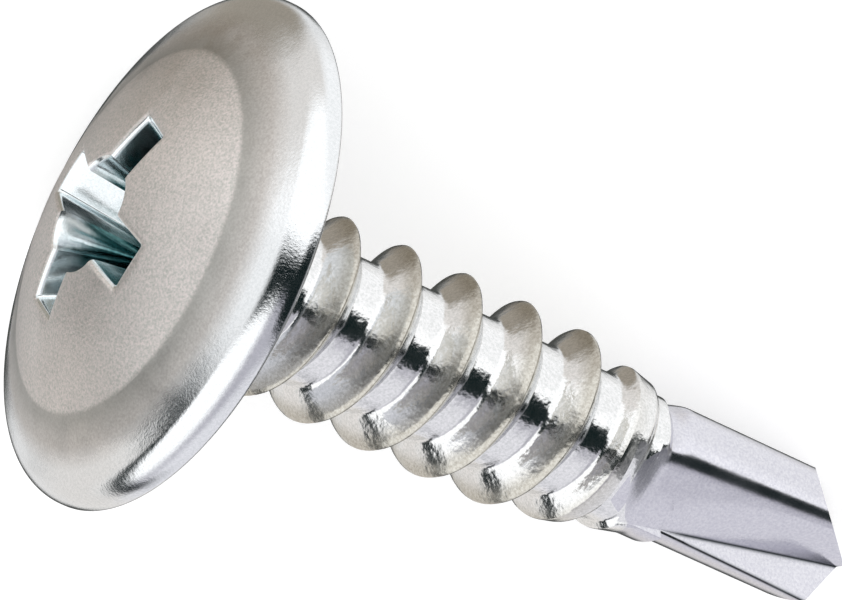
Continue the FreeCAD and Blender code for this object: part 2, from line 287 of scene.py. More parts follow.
# The thread's rule, one Math node a row: the result's name, what is done, and what it takes. x and y
# run from -0.5 to 0.5 along the wound strip and across it, and y is 0 on the crest.
THREAD_RULE = (
    ("edges", "MULTIPLY", "Turns", "Steps a turn"),
    ("columns", "ADD", "edges", 1),
    ("rows", "ADD", "Steps a pitch", 1),
    ("along", "ADD", "x", 0.5),
    ("wound", "MULTIPLY", "along", "Turns"),
    ("azimuth", "MULTIPLY", "wound", TAU),
    ("pitches", "ADD", "wound", "y"),
    ("above", "MULTIPLY", "Lead in", -1),
    ("depth", "MULTIPLY_ADD", "pitches", "Pitch", "above"),
    # The ridge: two straight flanks, softened where they meet the crest.
    ("off crest", "ABSOLUTE", "y"),
    ("half flat", "MULTIPLY", "Crest flat", -0.5),
    ("off flat", "MULTIPLY_ADD", "off crest", "Pitch", "half flat"),
    ("steepness", "TANGENT", "Flank"),
    ("drop", "DIVIDE", "off flat", "steepness"),
    ("sides", "SUBTRACT", "Crest", "drop"),
    # The crests fall away towards the drill point.
    ("past fade", "SUBTRACT", "depth", "Fade start"),
    ("faded", "DIVIDE", "past fade", "Fade length"),
    ("fade", "MAXIMUM", "faded", 0),
    ("height", "SUBTRACT", "Point", "Crest"),
    ("top", "MULTIPLY_ADD", "fade", "height", "Crest"),
    ("ridge", "SMOOTH_MIN", "sides", "top", CREST_SOFT),
    # The core, which dips and then sinks into the drill point.
    ("from shoulder", "SUBTRACT", "depth", "Shoulder"),
    ("dip start", "ADD", "from shoulder", SKIN_START),
    ("dip raw", "DIVIDE", "dip start", -SKIN_RUN / SKIN),
    ("dip low", "MAXIMUM", "dip raw", -SKIN),
    ("dip", "MINIMUM", "dip low", 0),
    ("sink start", "ADD", "from shoulder", SINK_START),
    ("sink", "MAXIMUM", "sink start", 0),
    ("skin", "ADD", "Core", "dip"),
    ("sunk", "MULTIPLY_ADD", "sink", -SINK_SLOPE, "skin"),
    ("floor", "SUBTRACT", "Point", SINK),
    ("core", "MAXIMUM", "sunk", "floor"),
    ("turned", "SMOOTH_MAX", "ridge", "core", ROOT_SOFT),
    ("thread", "MAXIMUM", "turned", "floor"),
    # The neck: a quarter round into the bearing face.
    ("under head", "MAXIMUM", "depth", 0),
    ("in neck", "MINIMUM", "under head", "Neck"),
    ("left", "SUBTRACT", "Neck", "in neck"),
    ("left squared", "MULTIPLY", "left", "left"),
    ("neck squared", "MULTIPLY", "Neck", "Neck"),
    ("rest", "SUBTRACT", "neck squared", "left squared"),
    ("rest kept", "MAXIMUM", "rest", 0),
    ("arc", "SQRT", "rest kept"),
    ("round", "SUBTRACT", "Neck", "arc"),
    ("neck", "ADD", "Core", "round"),
    ("radius", "SMOOTH_MAX", "thread", "neck", NECK_SOFT),
    ("cosine", "COSINE", "azimuth"),
    ("sine", "SINE", "azimuth"),
    ("X", "MULTIPLY", "radius", "cosine"),
    ("Y", "MULTIPLY", "radius", "sine"),
    ("Z", "MULTIPLY", "depth", -1),
)
WELD = 0.0002


def thread_tree(sizes, finish):
    """Geometry nodes: a strip a pitch wide, wound down the axis, whose radius follows the thread."""
    tree = bpy.data.node_groups.new("Rolled thread", "GeometryNodeTree")
    for name, size in sizes.items():
        socket = tree.interface.new_socket(name, in_out="INPUT", socket_type="NodeSocketFloat")
        socket.default_value = size
    tree.interface.new_socket("Geometry", in_out="OUTPUT", socket_type="NodeSocketGeometry")

    got = {socket.name: socket for socket in add_node(tree, "NodeGroupInput").outputs}
    place = add_node(tree, "GeometryNodeInputPosition").outputs[0]
    axes = add_node(tree, "ShaderNodeSeparateXYZ", {0: place}).outputs
    got["x"], got["y"] = axes["X"], axes["Y"]
    for name, operation, *taken in THREAD_RULE:
        inputs = {i: got.get(item, item) for i, item in enumerate(taken)}
        got[name] = add_node(tree, "ShaderNodeMath", inputs, operation=operation).outputs[0]

    strip = add_node(tree, "GeometryNodeMeshGrid", {
        "Vertices X": got["columns"], "Vertices Y": got["rows"]}).outputs[0]
    spot = add_node(tree, "ShaderNodeCombineXYZ", {axis: got[axis] for axis in "XYZ"}).outputs[0]
    wound = add_node(tree, "GeometryNodeSetPosition", {"Geometry": strip, "Position": spot}).outputs[0]
    weld = add_node(tree, "GeometryNodeMergeByDistance", {"Geometry": wound, "Distance": WELD}).outputs[0]
    real = add_node(tree, "GeometryNodeRealizeInstances", {0: weld}).outputs[0]
    plated = add_node(tree, "GeometryNodeSetMaterial", {"Geometry": real, "Material": finish}).outputs[0]
    add_node(tree, "NodeGroupOutput", {"Geometry": plated})
    return tree


def thread_mesh(thread, point, finish):
    """The thread's tree turned into a plain closed mesh, in the screw's own frame."""
    sizes = {
        "Core": thread.core, "Crest": thread.crest, "Pitch": thread.pitch, "Flank": thread.flank,
        "Crest flat": thread.crest_flat, "Lead in": thread.lead_in, "Turns": thread.turns,
        "Fade start": thread.fade_start, "Fade length": thread.fade_length, "Neck": thread.neck,
        "Point": point.radius, "Shoulder": point.shoulder, "Steps a turn": 144.0, "Steps a pitch": 30.0,
    }
    holder = new_object("thread_holder", bmesh.new())
    modifier = holder.modifiers.new("Thread", "NODES")
    modifier.node_group = thread_tree(sizes, finish)
    for item in modifier.node_group.interface.items_tree:
        if item.in_out == "INPUT":
            modifier[item.identifier] = sizes[item.name]
    mesh = bpy.data.meshes.new_from_object(holder.evaluated_get(bpy.context.evaluated_depsgraph_get()))
    bpy.data.objects.remove(holder)
    bm = bmesh.new()
    bm.from_mesh(mesh)
    bpy.data.meshes.remove(mesh)
    bmesh.ops.holes_fill(bm, edges=[edge for edge in bm.edges if edge.is_boundary], sides=0)
    bmesh.ops.triangulate(bm, faces=[face for face in bm.faces if len(face.verts) > 4])
    bmesh.ops.recalc_face_normals(bm, faces=bm.faces)
    return bm


def flute_walls(point, depth):
    """A groove's bottom and the directions of its cutting face and heel wall, as complex numbers."""
    start = point.groove_start - point.run_in
    share = (depth - start) / (point.length - start)
    fall = (point.radius - point.web) / (point.length - point.groove_start)
    ends = []
    for bottom, reach, face, heel in (
        (point.radius + fall * point.run_in, point.reach, point.face_start, point.heel_start),
        (point.web, point.reach_end, point.face_end, point.heel_end),
    ):
        corner = cmath.rect(bottom, point.groove_turn)
        ends.append((corner, corner + cmath.rect(reach, face), corner + cmath.rect(reach, heel)))
    corner, face, heel = (a + (b - a) * share for a, b in zip(*ends))
    return corner, (face - corner) / abs(face - corner), (heel - corner) / abs(heel - corner)


# The distance of the flat behind the heel before it meets the drill point, in millimetres.
CHAMFER_CLEAR = 1.5


def chamfer_gap(point, depth):
    """How far the flat behind the heel is from the axis at a depth."""
    share = max(depth - point.chamfer_full, 0) / (point.length - point.chamfer_full)
    full = point.chamfer + (point.chamfer_end - point.chamfer) * share
    return CHAMFER_CLEAR + (full - CHAMFER_CLEAR) * step(depth, point.chamfer_start, point.chamfer_full)


# How many points round half the drill point lie on its heel wall, its cutting face and its land.
HEEL_STEPS, FACE_STEPS, LAND_STEPS = 44, 16, 56
# The least azimuth that the cutting face takes up, and half of the least that the heel wall does.
LEAST_FACE, LEAST_HEEL = 0.03, math.radians(8)
# Farther out than any wall, and half the azimuth over which one land stands proud.
FAR_OUT, PROUD_HALF = 9, math.radians(50)


def section_turns(corner, face, heel_gap, face_gap, middle, radius):
    """Azimuths for points round half the drill point, closer together where its edges are."""
    inside = abs(corner) < radius
    half = math.acos(min(abs(heel_gap) / radius, math.cos(LEAST_HEEL)))
    heel_edge = middle + half
    bottom = cmath.phase(corner) if inside else middle - half
    face_edge = bottom - LEAST_FACE
    if inside:
        seen = corner * face.conjugate()
        reach = math.sqrt(max(radius ** 2 - seen.imag ** 2, 0)) - seen.real
        face_edge = min(cmath.phase(corner + face * reach), face_edge)
    far_heel = cmath.rect(radius, heel_edge)
    near_heel = corner if inside else cmath.rect(radius, bottom)

    turns = []
    for i in range(HEEL_STEPS):
        share = 0.5 - 0.5 * math.cos(math.pi * i / HEEL_STEPS)
        turns.append(cmath.phase(far_heel + (near_heel - far_heel) * share))
    for i in range(FACE_STEPS):
        if inside:
            reach = abs(corner) + (radius - abs(corner)) * i / FACE_STEPS
            turns.append(cmath.phase(face * 1j) - math.acos(min(face_gap / reach, 1)))
        else:
            turns.append(bottom + (face_edge - bottom) * i / FACE_STEPS)
    for i in range(LAND_STEPS):
        share = 0.5 - 0.5 * math.cos(math.pi * i / LAND_STEPS)
        turns.append(face_edge + (heel_edge - math.pi - face_edge) * share)
    return turns


def point_section(point, depth, radius):
    """Points round the drill point at a depth: lands on the circle, heel walls and cutting faces."""
    corner, face, heel = flute_walls(point, depth)
    # Each wall as a line: its normal, towards the cut, and its distance from the axis.
    heel_normal = heel * -1j
    face_normal = face * 1j
    heel_gap = (corner * heel_normal.conjugate()).real
    face_gap = (corner * face_normal.conjugate()).real
    turns = section_turns(corner, face, heel_gap, face_gap, cmath.phase(heel_normal), radius)
    # The dies meet with a small mismatch, so one land stands a little proud from the shoulder on.
    proud = point.proud * step(depth, point.shoulder - 0.1, point.shoulder + 0.5)
    ring = []
    for side in range(2):
        for turn in turns:
            ray = cmath.rect(1, turn)
            gaps = []
            for normal, gap in ((heel_normal, heel_gap), (face_normal, face_gap)):
                lean = (ray * normal.conjugate()).real
                gaps.append(min(gap / lean, FAR_OUT) if lean > 1e-6 else FAR_OUT)
            wall = smooth_max(*gaps, point.root_rounding)
            flat = chamfer_gap(point, depth) / max(abs(math.cos(turn - point.chamfer_turn)), 0.2)
            off = math.remainder(turn + math.pi * side - point.proud_turn, TAU) / PROUD_HALF
            land = radius + proud * (math.cos(off * math.pi / 2) ** 2 if abs(off) < 1 else 0)
            reach = smooth_min(land, flat, point.chamfer_rounding)
            spot = smooth_min(reach, wall, point.heel_rounding) * ray * (-1) ** side
            ring.append((spot.real, spot.imag, -depth))
    return ring


# The distance between the drill point's rings of points, in millimetres.
RING_STEP = 0.05


def point_mesh(thread, point):
    """The drill point from a little above its shoulder to the tip, with its end cut into two slopes."""
    start = point.shoulder - SKIN_START
    rings = []
    for i in range(int((point.length - start) / RING_STEP) + 4):
        depth = start + RING_STEP * i
        core = thread.core - SKIN * (1 - min((depth - start) / SKIN_RUN, 1))
        fall = step(depth - point.shoulder + point.shoulder_length, 0, point.shoulder_length)
        rings.append(point_section(point, depth, core + (point.radius - core) * fall))
    bm = loft(rings)
    lip_fall = 1 / math.tan(point.lip)
    relief_fall = math.tan(point.relief)
    turn = point.lip_turn - math.atan2(relief_fall, lip_fall)
    fall = math.hypot(lip_fall, relief_fall)
    for side in (1, -1):
        normal = Vector((side * math.cos(turn) * fall, side * math.sin(turn) * fall, -1)).normalized()
        cut = bmesh.ops.bisect_plane(
            bm, geom=bm.verts[:] + bm.edges[:] + bm.faces[:], plane_co=(0, 0, -point.length),
            plane_no=normal, clear_outer=True)
        edges = [item for item in cut["geom_cut"] if isinstance(item, bmesh.types.BMEdge)]
        bmesh.ops.holes_fill(bm, edges=edges, sides=0)
    bmesh.ops.recalc_face_normals(bm, faces=bm.faces)
    return bm


# How far the flutes' cuts reach out of the thread, in millimetres, and how many sections they have.
CUT_REACH, CUT_STEPS = 2.4, 40


def flute_mesh(point):
    """Both flutes' cuts for the thread's last turns: a corner and two straight walls at each depth."""
    bm = bmesh.new()
    start = point.groove_start - point.run_in
    for side in (1, -1):
        rings = []
        for i in range(CUT_STEPS + 1):
            depth = start + (point.length + 1 - start) * i / CUT_STEPS
            corner, face, heel = flute_walls(point, depth)
            spots = [corner, corner + CUT_REACH * face, corner + CUT_REACH * (face + heel),
                     corner + CUT_REACH * heel]
            rings.append([(side * spot.real, side * spot.imag, -depth) for spot in spots])
        add_loft(bm, rings)
    return bm


# The box that cuts the flat behind a heel: half its width, its outer side, and where it lies before
# the flat starts, in millimetres, and how many sections it has.
FLAT_HALF, FLAT_OUT, FLAT_CLEAR, FLAT_STEPS = 1.2, 2.7, 2.6, 30


def chamfer_mesh(point):
    """The cuts of both flats behind the heels, for the last turns of the thread."""
    bm = bmesh.new()
    for side in (1, -1):
        normal = side * cmath.rect(1, point.chamfer_turn)
        rings = []
        for i in range(FLAT_STEPS + 1):
            run = point.shoulder + 1.5 - point.chamfer_start
            depth = point.chamfer_start - 0.5 + run * i / FLAT_STEPS
            middle = normal * (chamfer_gap(point, depth) if depth > point.chamfer_start else FLAT_CLEAR)
            spots = [middle - FLAT_HALF * 1j * normal, middle + FLAT_HALF * 1j * normal,
                     (FLAT_OUT + FLAT_HALF * 1j) * normal, (FLAT_OUT - FLAT_HALF * 1j) * normal]
            rings.append([(spot.real, spot.imag, -depth) for spot in spots])
        add_loft(bm, rings)
    return bm


def dome_height(head, radius):
    """Height of the head's face above the bearing face, at a distance from the axis."""
    high = head.upper_rounding
    edge = head.radius - high + high * math.sin(head.slope)
    rise = (edge - head.foot) * math.tan(head.slope)
    foot = head.rim_height - high + high * math.cos(head.slope) + rise
    if radius >= head.foot:
        return foot - (radius - head.foot) * math.tan(head.slope)
    ball = (head.foot ** 2 + head.rise ** 2) / (2 * head.rise)
    return foot + head.rise - (ball - math.sqrt(ball ** 2 - radius ** 2))


def head_profile(head):
    """The head's half outline, from the bearing face's middle round the rim to the dome's top."""
    low, high = head.lower_rounding, head.upper_rounding
    points = [(0.0, 0.0)]
    points += [((head.radius - low) * i / 12, 0.0) for i in range(3, 12)]
    for i in range(9):
        turn = math.radians(90 * i / 8)
        points.append((head.radius - low + low * math.sin(turn), low - low * math.cos(turn)))
    for i in range(17):
        turn = (math.pi / 2 - head.slope) * i / 16
        points.append((head.radius - high + high * math.cos(turn),
                       head.rim_height - high + high * math.sin(turn)))
    edge = points[-1][0]
    outer, inner = head.foot + head.crease, head.foot - head.crease
    flange = [edge + (outer - edge) * i / 5 for i in range(1, 6)]
    points += [(radius, dome_height(head, radius)) for radius in flange]
    # The hollow at the dome's foot: a curve that touches the flange and the dome.
    ends = [(radius, dome_height(head, radius)) for radius in (outer, head.foot, inner)]
    for i in range(1, 9):
        t = i / 8
        points.append(tuple((1 - t) ** 2 * a + 2 * t * (1 - t) * b + t ** 2 * c for a, b, c in zip(*ends)))
    dome = [inner * (1 - i / 20) for i in range(1, 21)]
    points += [(radius, dome_height(head, radius)) for radius in dome]
    return points


# How many segments the head has round the axis.
HEAD_SEGMENTS = 240


def head_mesh(head):
    """The wafer head, turned about the axis."""
    bm = bmesh.new()
    rows = []
    for radius, height in head_profile(head):
        if radius < 1e-6:
            rows.append([bm.verts.new((0, 0, height))] * HEAD_SEGMENTS)
            continue
        turns = [TAU * i / HEAD_SEGMENTS for i in range(HEAD_SEGMENTS)]
        rows.append([bm.verts.new((radius * math.cos(turn), radius * math.sin(turn), height))
                     for turn in turns])
    for lower, upper in zip(rows, rows[1:]):
        for i in range(HEAD_SEGMENTS):
            j = (i + 1) % HEAD_SEGMENTS
            bm.faces.new(list(dict.fromkeys((lower[i], lower[j], upper[j], upper[i]))))
    bmesh.ops.recalc_face_normals(bm, faces=bm.faces)
    return bm


def recess_outline(recess, depth, grow):
    """The recess's cross outline at a depth under the dome's top, grown sideways, as complex numbers."""
    reach = recess.reach - depth * math.tan(recess.end_slope) + grow
    half = recess.half_width - depth * math.tan(recess.draft) + grow
    throat = recess.throat - depth * math.tan(recess.end_slope) / 2
    corner = recess.corner
    root = reach - corner
    outline = [complex(throat + (root - throat) * i / 10, -half) for i in range(10)]
    for side in (-1, 1):
        arc = []
        for i in range(6):
            turn = math.radians(90 * i / 5)
            across = side * (half - corner + corner * math.cos(turn))
            arc.append(complex(root + corner * math.sin(turn), across))
        outline += arc if side < 0 else arc[::-1]
        if side < 0:
            outline += [complex(reach, (half - corner) * (2 * i / 6 - 1)) for i in range(1, 6)]
    outline += [complex(root + (throat - root) * i / 10, half) for i in range(1, 11)]
    # The facet across the inner corner bows a little out from the axis.
    first, last = complex(throat, half), complex(half, throat)
    for i in range(1, 12):
        t = i / 12
        spot = first + (last - first) * t
        outline.append(spot + recess.bow * 4 * t * (1 - t) * spot / abs(spot))
    turn = cmath.rect(1, recess.turn)
    return [spot * turn * 1j ** quarter for quarter in range(4) for spot in outline]


def wall_ring(recess, top, depths, grow=0.0):
    """A ring on the recess's walls, when each point has a depth of its own under the dome's top."""
    shallow = recess_outline(recess, 0, grow)
    deep = recess_outline(recess, recess.depth, grow)
    spots = [a + (b - a) * depth / recess.depth for a, b, depth in zip(shallow, deep, depths)]
    return [(spot.real, spot.imag, top - depth) for spot, depth in zip(spots, depths)]


def recess_mesh(recess, head):
    """The tool that leaves the cross recess: a flared mouth on the dome, and four wings that narrow."""
    top = dome_height(head, 0)

    def mouth_ring(grow, sink):
        """A ring that follows the dome, sunk below it."""
        depths = [0.0] * len(recess_outline(recess, 0, 0))
        for _ in range(12):
            ring = wall_ring(recess, top, depths, grow)
            depths = [top - dome_height(head, min(abs(complex(x, y)), head.foot)) + sink
                      for x, y, _ in ring]
        return wall_ring(recess, top, depths, grow)

    lip = recess.lip
    rings = [mouth_ring(1.6 * lip, -0.25)]
    for i in range(7):
        turn = math.radians(90 * i / 6)
        rings.append(mouth_ring(lip * (1 - math.sin(turn)), -lip * 0.04 + lip * (1 - math.cos(turn))))
    edge = [top - z for _, _, z in rings[-1]]
    for i in range(1, 9):
        rings.append(wall_ring(recess, top, [depth + (recess.depth - depth) * i / 8 for depth in edge]))
    for radius, sink in ((recess.cone_radius, 0.0), (0.02, recess.cone)):
        height = top - recess.depth - sink
        rings.append([(x * radius / math.hypot(x, y), y * radius / math.hypot(x, y), height)
                      for x, y, _ in rings[-1]])
    return loft(rings)


def combine(target, other, operation):
    """Joins or cuts two closed meshes and deletes the second one."""
    modifier = target.modifiers.new("Combine", "BOOLEAN")
    modifier.operation = operation
    modifier.solver = "MANIFOLD"
    modifier.object = other
    mesh = bpy.data.meshes.new_from_object(target.evaluated_get(bpy.context.evaluated_depsgraph_get()))
    target.modifiers.remove(modifier)
    target.data = mesh
    bpy.data.objects.remove(other)


def is_closed(mesh):
    """Whether every edge of a mesh joins exactly two faces."""
    bm = bmesh.new()
    bm.from_mesh(mesh)
    closed = all(len(edge.link_faces) == 2 for edge in bm.edges)
    bm.free()
    return closed


class SCREW_OT_model(bpy.types.Operator):
    """Models the whole screw as one closed mesh and plates it"""
    bl_idname = "screw.model"
    bl_label = "Model the screw"

    def execute(self, context):
        scene = context.scene
        head, point, thread = scene.screw_head, scene.screw_point, scene.screw_thread
        finishes = plate_finishes(scene.screw_colors)
        screw = new_object("plated_screw", head_mesh(head))
        shank = new_object("thread", thread_mesh(thread, point, finishes[THREAD]))
        combine(shank, new_object("flutes", flute_mesh(point)), "DIFFERENCE")
        combine(shank, new_object("chamfers", chamfer_mesh(point)), "DIFFERENCE")
        combine(screw, shank, "UNION")
        combine(screw, new_object("point", point_mesh(thread, point)), "UNION")
        combine(screw, new_object("recess", recess_mesh(scene.screw_recess, head)), "DIFFERENCE")
        screw.data.name = "plated_screw"
        if not is_closed(screw.data):
            raise RuntimeError("the screw's mesh has open edges")
        plate(screw.data, finishes, scene)
        screw.data.transform(screw_matrix())
        screw.data.shade_smooth()
        screw.data.set_sharp_from_angle(angle=math.radians(38))
        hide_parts(NODE)
        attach(screw, BODY)
        return {"FINISHED"}


# The finishes' places in the mesh, and the attributes that say where a finish shows wear or painted
# shade, and where painted shade darkens a crease or groove.
DOME, FLANGE, RECESS, THREAD, POINT = range(5)
WEAR_AND_SHADE = "wear_and_shade"
PAINTED_SHADE = "crease"


def plated_steel(name, plain, wear_and_shade, grain, ripple, crease=None):
    """Zinc plated steel whose plate differs a little in tint and gloss from spot to spot.

    plain and wear_and_shade are finishes (colour, the colour of its specks, roughness), and the mesh says
    where each shows: the second is wear on the rim, and painted shade on the thread's ridges and deep in
    the recess. grain and ripple are (size in millimetres, height as a share of it). The grain is the
    crystal of the plate, which is finer in truth and drawn as coarse as it needs to show. The ripple is
    the steel's own unevenness, which breaks up what it mirrors. crease is the colour of the painted shade
    in a crease or groove.
    """
    material = bpy.data.materials.new(name)
    material.use_nodes = True
    tree = material.node_tree
    shader = tree.nodes["Principled BSDF"]
    shader.inputs["Metallic"].default_value = 1.0
    place = add_node(tree, "ShaderNodeTexCoord").outputs["Object"]
    fine = add_node(tree, "ShaderNodeTexNoise", {
        "Vector": place, "Scale": 1 / (grain[0] * MM), "Detail": 3.0, "Roughness": 0.65}).outputs["Fac"]
    broad = add_node(tree, "ShaderNodeTexNoise", {
        "Vector": place, "Scale": 1 / (ripple[0] * MM), "Detail": 2.0}).outputs["Fac"]
    where = add_node(tree, "ShaderNodeAttribute", attribute_name=WEAR_AND_SHADE).outputs["Fac"]
    specks = add_node(tree, "ShaderNodeMapRange", {
        "Value": fine, "From Min": 0.35, "From Max": 0.65}).outputs[0]
    patches = add_node(tree, "ShaderNodeMapRange", {
        "Value": broad, "From Min": 0.3, "From Max": 0.7, "To Min": 0.8, "To Max": 1.25}).outputs[0]
    tints = [add_node(tree, "ShaderNodeMix", {0: specks, 6: speck, 7: color}, data_type="RGBA").outputs[2]
             for color, speck, _ in (plain, wear_and_shade)]
    tint = add_node(tree, "ShaderNodeMix", {0: where, 6: tints[0], 7: tints[1]}, data_type="RGBA").outputs[2]
    # Painted shade in a crease or groove, where the mesh says.
    if crease:
        line = add_node(tree, "ShaderNodeAttribute", attribute_name=PAINTED_SHADE).outputs["Fac"]
        tint = add_node(tree, "ShaderNodeMix", {0: line, 6: tint, 7: crease}, data_type="RGBA").outputs[2]
    rough = add_node(tree, "ShaderNodeMapRange", {
        "Value": where, "To Min": plain[2], "To Max": wear_and_shade[2]}).outputs[0]
    rough = add_node(tree, "ShaderNodeMath", {0: rough, 1: patches}, operation="MULTIPLY").outputs[0]
    bumps = add_node(tree, "ShaderNodeBump", {
        "Height": broad, "Distance": ripple[0] * ripple[1] * MM}).outputs[0]
    bumps = add_node(tree, "ShaderNodeBump", {
        "Height": fine, "Normal": bumps, "Distance": grain[0] * grain[1] * MM}).outputs[0]
    for key, socket in (("Base Color", tint), ("Roughness", rough), ("Normal", bumps)):
        tree.links.new(socket, shader.inputs[key])
    return material


def plate_finishes(colors):
    """The zinc plate as it looks on each part of the screw."""
    dome = (colors.dome, hex_color("C1C2BD"), 0.42)
    satin = (colors.flange, hex_color("C2BEBB"), 0.38)
    rim = (colors.rim, hex_color("DDE0E2"), 0.11)
    recess = (colors.recess, hex_color("DFE6E8"), 0.15)
    # Painted blue green shade deep in the recess.
    deep = (hex_color("6B9698"), hex_color("487577"), 0.12)
    valley = (colors.valley, hex_color("D9DBDB"), 0.12)
    # The ridges are darker than the valleys as painted shade.
    crest = (colors.crest, hex_color("B2AEA5"), 0.22)
    point = (colors.point, hex_color("C9C9D2"), 0.17)
    # Painted shade for the crease at the dome's foot.
    shade = hex_color("8F918C")
    return [
        # Cold headed and barrel plated: a satin bloom with faint pink and green specks, and painted shade in
        # its crease.
        plated_steel("satin_zinc_dome", dome, satin, (0.055, 0.14), (1.1, 0.01), shade),
        # The same plate, worn bright round the rim by the other screws in the barrel, with the same painted
        # shade beside the dome's crease.
        plated_steel("barrelled_zinc_flange", satin, rim, (0.055, 0.06), (0.6, 0.012), shade),
        # Struck by the punch: smooth walls that mirror each other in hard light and dark, with painted blue
        # green shade deep down.
        plated_steel("struck_zinc_recess", recess, deep, (0.05, 0.02), (0.5, 0.015)),
        # Rolled: bright valleys, uneven enough to break up a reflection, and rougher ridges painted darker
        # as painted shade.
        plated_steel("rolled_zinc_thread", valley, crest, (0.06, 0.04), (0.27, 0.06)),
        # Forged between two dies: smooth flats with a cool, faintly lavender sheen, and painted shade along
        # the grooves.
        plated_steel("forged_zinc_point", point, point, (0.06, 0.02), (0.9, 0.012), hex_color("3C4246")),
    ]


# Levels just under the bearing face and just above it, and how near the head's face a face and a
# point of the mesh have to be to lie on it.
UNDER_HEAD, OVER_HEAD, FACE_NEAR, POINT_NEAR = -0.02, 0.01, 0.03, 0.05
# The painted shade line in a groove: its half width and the length over which it starts.
LINE, LINE_START = 0.045, 0.9
# Where the painted shade on a ridge and the rim's wear start and are full: a ridge's distance from the
# axis, and the flange's from the rim.
RIDGE_SHADE, RIM_RUB = (1.6, 1.95), (0.95, 0.55)
# The painted shade in the crease at the dome's foot: its half width on the dome and on the flange, and its
# strength.
DOME_CREASE, FLANGE_CREASE, CREASE_SHARE = 0.05, 0.42, 0.55


def recess_painted_shade(recess, head, place):
    """Painted shade in the recess, darker deeper down and towards the middle, on the wings' sides first."""
    x, y, z = place
    radius = math.hypot(x, y)
    depth = dome_height(head, radius) - z
    turn = math.remainder(math.atan2(y, x) - recess.turn, TAU / 4)
    facet = step(radius * abs(math.sin(turn)), recess.half_width, recess.half_width + 0.12)
    return step(depth, 0.35 + 0.3 * facet, 0.7 + 0.4 * facet) * step(radius, 1.5, 1.1)


def groove_painted_shade(point, place):
    """Painted shade on the drill point, by the distance from the groove's bottom and face edge."""
    x, y, z = place
    corner, face, _ = flute_walls(point, -z)
    edge = corner + face * (point.radius - abs(corner))
    off = min(abs(complex(x, y) - spot * side) for spot in (corner, edge) for side in (1, -1))
    return math.exp(-(off / LINE) ** 2) * step(-z, point.groove_start, point.groove_start + LINE_START)


def plate(mesh, finishes, scene):
    """Gives each face of the screw its finish, and each point its wear and painted shade."""
    head, point = scene.screw_head, scene.screw_point
    mesh.materials.clear()
    for finish in finishes:
        mesh.materials.append(finish)
    for polygon in mesh.polygons:
        x, y, z = polygon.center
        radius = math.hypot(x, y)
        cut = z < -point.groove_start + point.run_in and radius < scene.screw_thread.core - 0.02
        if z < UNDER_HEAD:
            polygon.material_index = POINT if cut or z < -point.shoulder + 0.02 else THREAD
        elif radius < head.foot and z > OVER_HEAD:
            on_face = abs(z - dome_height(head, radius)) < FACE_NEAR
            polygon.material_index = DOME if on_face else RECESS
        else:
            polygon.material_index = FLANGE
    wear_and_shade = mesh.attributes.new(WEAR_AND_SHADE, "FLOAT", "POINT").data
    crease = mesh.attributes.new(PAINTED_SHADE, "FLOAT", "POINT").data
    for i, vertex in enumerate(mesh.vertices):
        x, y, z = vertex.co
        radius = math.hypot(x, y)
        if z < -point.groove_start:
            # Painted shade along the groove's bottom and the cutting face's edge.
            crease[i].value = groove_painted_shade(point, vertex.co)
        elif z < UNDER_HEAD:
            # Painted shade: the ridges darken towards their crests.
            wear_and_shade[i].value = step(radius, *RIDGE_SHADE)
        elif radius > head.foot / 2 and z > OVER_HEAD and abs(z - dome_height(head, radius)) < POINT_NEAR:
            wear_and_shade[i].value = step(radius, *(head.radius - off for off in RIM_RUB))
            # Painted shade in the crease at the dome's foot.
            width = DOME_CREASE if radius < head.foot else FLANGE_CREASE
            crease[i].value = CREASE_SHARE * math.exp(-((radius - head.foot) / width) ** 2)
        elif radius < head.foot and z > OVER_HEAD:
            # Painted shade deep in the recess.
            wear_and_shade[i].value = recess_painted_shade(scene.screw_recess, head, vertex.co)
        else:
            wear_and_shade[i].value = 1.0


class SCREW_OT_stage(bpy.types.Operator):
    """Sets up the floor, the lights and the camera"""
    bl_idname = "screw.stage"
    bl_label = "Set the stage"

    def execute(self, context):
        make_floor()
        make_studio()
        make_camera()
        return {"FINISHED"}


# The camera as it stands to the screw: the axis's angle from the view, its slope in the picture,
# where the bearing face's middle lies, in millimetres, and the focal length in pixels.
VIEW_ANGLE = math.radians(61.284)
VIEW_SLOPE = math.radians(24.9)
VIEW_OFFSET = (-4.630, -0.865, 113.75)
FOCAL_PIXELS = 5913.3
PICTURE_WIDTH = 842


def camera_axes():
    """The screw frame's axes as the camera sees them: x right, y down, z away."""
    tipward = Vector((
        math.sin(VIEW_ANGLE) * math.cos(VIEW_SLOPE), math.sin(VIEW_ANGLE) * math.sin(VIEW_SLOPE),
        math.cos(VIEW_ANGLE)))
    nearer = Vector((0, 0, -1))
    nearer = (nearer - nearer.dot(tipward) * tipward).normalized()
    across = tipward.cross(nearer)
    return Matrix((nearer, -across, -tipward)).transposed()


def make_camera():
    """The camera at the photograph's angle, distance and focal length."""
    camera = bpy.data.cameras.new("camera")
    camera.sensor_width = 36.0
    camera.lens = FOCAL_PIXELS * camera.sensor_width / PICTURE_WIDTH
    camera.clip_start = 0.001
    camera.clip_end = 10
    obj = bpy.data.objects.new("camera", camera)
    bpy.context.scene.collection.objects.link(obj)
    seen = Matrix.Translation(Vector(VIEW_OFFSET)) @ camera_axes().to_4x4()
    flip = Matrix.Diagonal((1, -1, -1, 1))
    where, turn, _ = (screw_matrix() @ seen.inverted() @ flip).decompose()
    obj.matrix_world = Matrix.Translation(where) @ turn.to_matrix().to_4x4()
    bpy.context.scene.camera = obj


